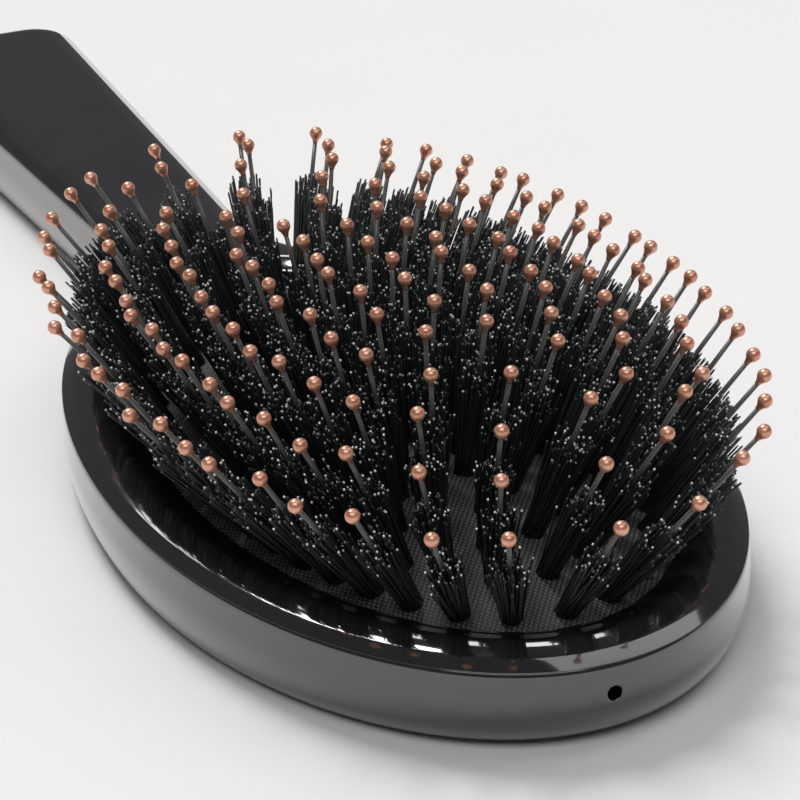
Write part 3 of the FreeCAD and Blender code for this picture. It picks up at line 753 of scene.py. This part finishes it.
def bundles(ring, random):
    """Bristles of a ring: roots spread evenly over each tuft's foot on a golden-angle spiral, ends spread
    over its wider top in the same order, with heights and ends scattered. Each flares by a power curve."""
    lower, direction = ring_stands[ring][:2]
    first, second = cross_axes(direction)
    tufts = solids_of(f"{ring}_tufts")
    along = [(points - foot) @ way for points, foot, way in zip(tufts, lower, direction)]
    out = [np.linalg.norm(points - foot - np.outer(height, way), axis=1)
           for points, foot, way, height in zip(tufts, lower, direction, along)]
    base = np.array([height.min() for height in along])[:, None]
    rise = np.array([height.max() - height.min() for height in along])[:, None]
    foot_radius = np.array([o[h < h.min() + FOOT_BAND].max() for o, h in zip(out, along)])[:, None]
    top_radius = np.array([o.max() for o in out])[:, None]
    shape = (len(lower), BRISTLES)
    spread = np.sqrt((np.arange(BRISTLES) + 0.5) / BRISTLES)[None]
    angle = np.arange(BRISTLES)[None] * GOLDEN_TURN + random.uniform(0, 2 * np.pi, (len(lower), 1))
    end_angle = angle + random.normal(0, END_SWING, shape)
    end_spread = END_SPREAD * spread + random.normal(0, END_SCATTER, shape)
    end_spread = np.clip(end_spread, LEAST_SPREAD, MOST_SPREAD)
    shorter = DOMED * spread ** 2
    tall = rise * (TALLEST - shorter - RAGGED * random.uniform(0, 1, shape) ** RAGGED_POWER)
    flare = BRISTLE_STEPS ** FLARE_POWER
    radial = (foot_radius - BRISTLE_RADIUS) * spread
    radial = radial[..., None] + ((top_radius - BRISTLE_RADIUS) * end_spread - radial)[..., None] * flare
    swing = angle[..., None] + (end_angle - angle)[..., None] * flare
    height = base[..., None] - SUNK + (tall + SUNK)[..., None] * BRISTLE_STEPS
    line = (lower[:, None, None] + direction[:, None, None] * height[..., None]
            + first[:, None, None] * (radial * np.cos(swing))[..., None]
            + second[:, None, None] * (radial * np.sin(swing))[..., None])
    way = line[:, :, -1] - line[:, :, -2]
    way /= np.linalg.norm(way, axis=-1, keepdims=True)
    tip = line[:, :, -1:]
    line = np.concatenate([line[:, :, :-1], tip - way[:, :, None] * CUT_LENGTH, tip], 2)
    line = line.reshape(-1, line.shape[2], 3)
    side, other = cross_axes(way.reshape(-1, 3))
    around = np.linspace(0, 2 * np.pi, BRISTLE_SIDES, endpoint=False)
    around = (around + random.uniform(0, ANY_TURN, (len(line), 1)))[..., None]
    girth = (side[:, None] * np.cos(around) + other[:, None] * np.sin(around)) * BRISTLE_RADIUS
    return line[:, :, None] + girth[:, None]


def bristle():
    """Black bristle: soft gloss along its length, and a painted glint on its cut end, whose brightness is an
    attribute.
    """
    material, tree, shader = new_finish("bristle")[:3]
    attribute = tree.nodes.new("ShaderNodeAttribute")
    attribute.attribute_name = "painted_end_glint"
    tinted(tree, shader, attribute.outputs["Fac"], BRISTLE_BLACK, CUT_END_GLINT)
    shader.inputs["Roughness"].default_value = 0.36
    shader.inputs["Specular IOR Level"].default_value = 0.5
    return material


black_bristle = bristle()
random = np.random.default_rng(SEED)
for ring in RINGS:
    points = bundles(ring, random)
    copies, rows = points.shape[:2]
    bristles = made(f"{ring}_bristles", points, tube_faces(copies, rows, BRISTLE_SIDES))
    # Painted glints: a share of the cut ends get a pale colour in place of a real highlight.
    painted_glint = np.zeros(points.shape[:3], np.float32)
    shining = random.uniform(0, 1, (copies, 1)) < SHINING
    painted_glint[:, -1] = np.where(shining, random.beta(*SHINE_SHAPE, (copies, 1)), DULL_END)
    attribute = bristles.data.attributes.new("painted_end_glint", "FLOAT", "POINT")
    attribute.data.foreach_set("value", painted_glint.ravel())
    bristles.data.materials.append(black_bristle)
    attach(bristles, ring)
    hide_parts(f"{ring}_tufts")

# Floor: the pale studio table that the brush lies on, painted a warm white with hardly any sheen.
# It is only a stage, and wide enough to fill every view.

FLOOR_HALF = 12.0
FLOOR_DULL = (0.85, 0.84, 0.825, 1)
FLOOR_CLEAN = (0.87, 0.86, 0.845, 1)
floor_points = np.array([[-1, -1, 0], [1, -1, 0], [1, 1, 0], [-1, 1, 0]]) * FLOOR_HALF
floor = made("floor", floor_points, [[0, 1, 2, 3]])
floor_paint, tree, shader, place = new_finish("floor_paint")
mottle = noise(tree, place.outputs["Object"], scale=35.0, detail=4.0)
tinted(tree, shader, mottle, FLOOR_DULL, FLOOR_CLEAN)
shader.inputs["Roughness"].default_value = 0.9
shader.inputs["Specular IOR Level"].default_value = 0.1
floor.data.materials.append(floor_paint)

# Light: a soft sun from behind, a wide window-like box under it, a panel high on the right and one in front.
# The room is dark, so that the black gloss stays black between their reflections.

SUN_STRENGTH = 1.8
SUN_ANGLE = np.radians(22)
ROOM_COLOUR = (0.10, 0.097, 0.104, 1)


def hung(lamp, azimuth, elevation, distance, roll=0.0):
    """Hangs a lamp in a given direction from the brush, facing it. Azimuth counts from +Y to +X, and the
    angles are in degrees."""
    azimuth, elevation = np.radians(azimuth), np.radians(elevation)
    level = np.cos(elevation)
    way = Vector((np.sin(azimuth) * level, np.cos(azimuth) * level, np.sin(elevation)))
    across = Vector((way.y, -way.x, 0)).normalized()
    facing = Matrix((across, way.cross(across), way)).transposed()
    facing = facing @ Matrix.Rotation(np.radians(roll), 3, "Z")
    holder = bpy.data.objects.new(lamp.name, lamp)
    holder.matrix_world = Matrix.Translation(way * distance) @ facing.to_4x4()
    bpy.context.scene.collection.objects.link(holder)


def soft_box(name, width, depth, power):
    """A rectangular lamp, width across and depth up."""
    lamp = bpy.data.lights.new(name, "AREA")
    lamp.shape = "RECTANGLE"
    lamp.size = width
    lamp.size_y = depth
    lamp.energy = power
    return lamp


key = bpy.data.lights.new("key", "SUN")
key.energy = SUN_STRENGTH
key.angle = SUN_ANGLE
hung(key, azimuth=-10, elevation=58, distance=1.6)
back_box = soft_box("back_box", width=1.25, depth=0.385, power=5.8)
hung(back_box, azimuth=8.5, elevation=39.5, distance=2.0)
right_panel = soft_box("right_panel", width=1.15, depth=0.37, power=1.85)
hung(right_panel, azimuth=98, elevation=60, distance=1.226, roll=112)
front_panel = soft_box("front_panel", width=2.0, depth=0.93, power=18.0)
hung(front_panel, azimuth=202, elevation=54, distance=2.2)
room = bpy.data.worlds.new("room")
room.use_nodes = True
room.node_tree.nodes["Background"].inputs["Color"].default_value = ROOM_COLOUR
bpy.context.scene.world = room

# Camera: a long lens, low in front of the toe and a little to its left.
# Its place and lens were fitted to the rim, the handle's sides and the ball tips of the photograph.

LENS = 155.04
SENSOR = 36.0
NEAREST = 0.01
DISTANCE = 0.41079
ELEVATION = np.radians(25.21)
AZIMUTH = np.radians(-23.09)
ROLL = np.radians(-1.448)
AIM = np.array([0.00578, 0.01240, SEAM])
away = np.array([np.sin(AZIMUTH) * np.cos(ELEVATION),
                 -np.cos(AZIMUTH) * np.cos(ELEVATION),
                 np.sin(ELEVATION)])
right = np.cross([0, 0, 1.0], away)
right /= np.linalg.norm(right)
up = np.cross(away, right)
rolled_right = right * np.cos(ROLL) + up * np.sin(ROLL)
rolled_up = up * np.cos(ROLL) - right * np.sin(ROLL)
lens = bpy.data.cameras.new("camera")
lens.lens = LENS
lens.sensor_width = SENSOR
lens.clip_start = NEAREST
camera = bpy.data.objects.new("camera", lens)
matrix = Matrix(np.stack([rolled_right, rolled_up, away], 1).tolist()).to_4x4()
matrix.translation = Vector(AIM + away * DISTANCE)
camera.matrix_world = matrix
bpy.context.scene.collection.objects.link(camera)
bpy.context.scene.camera = camera
bpy.context.scene.view_settings.view_transform = "Standard"
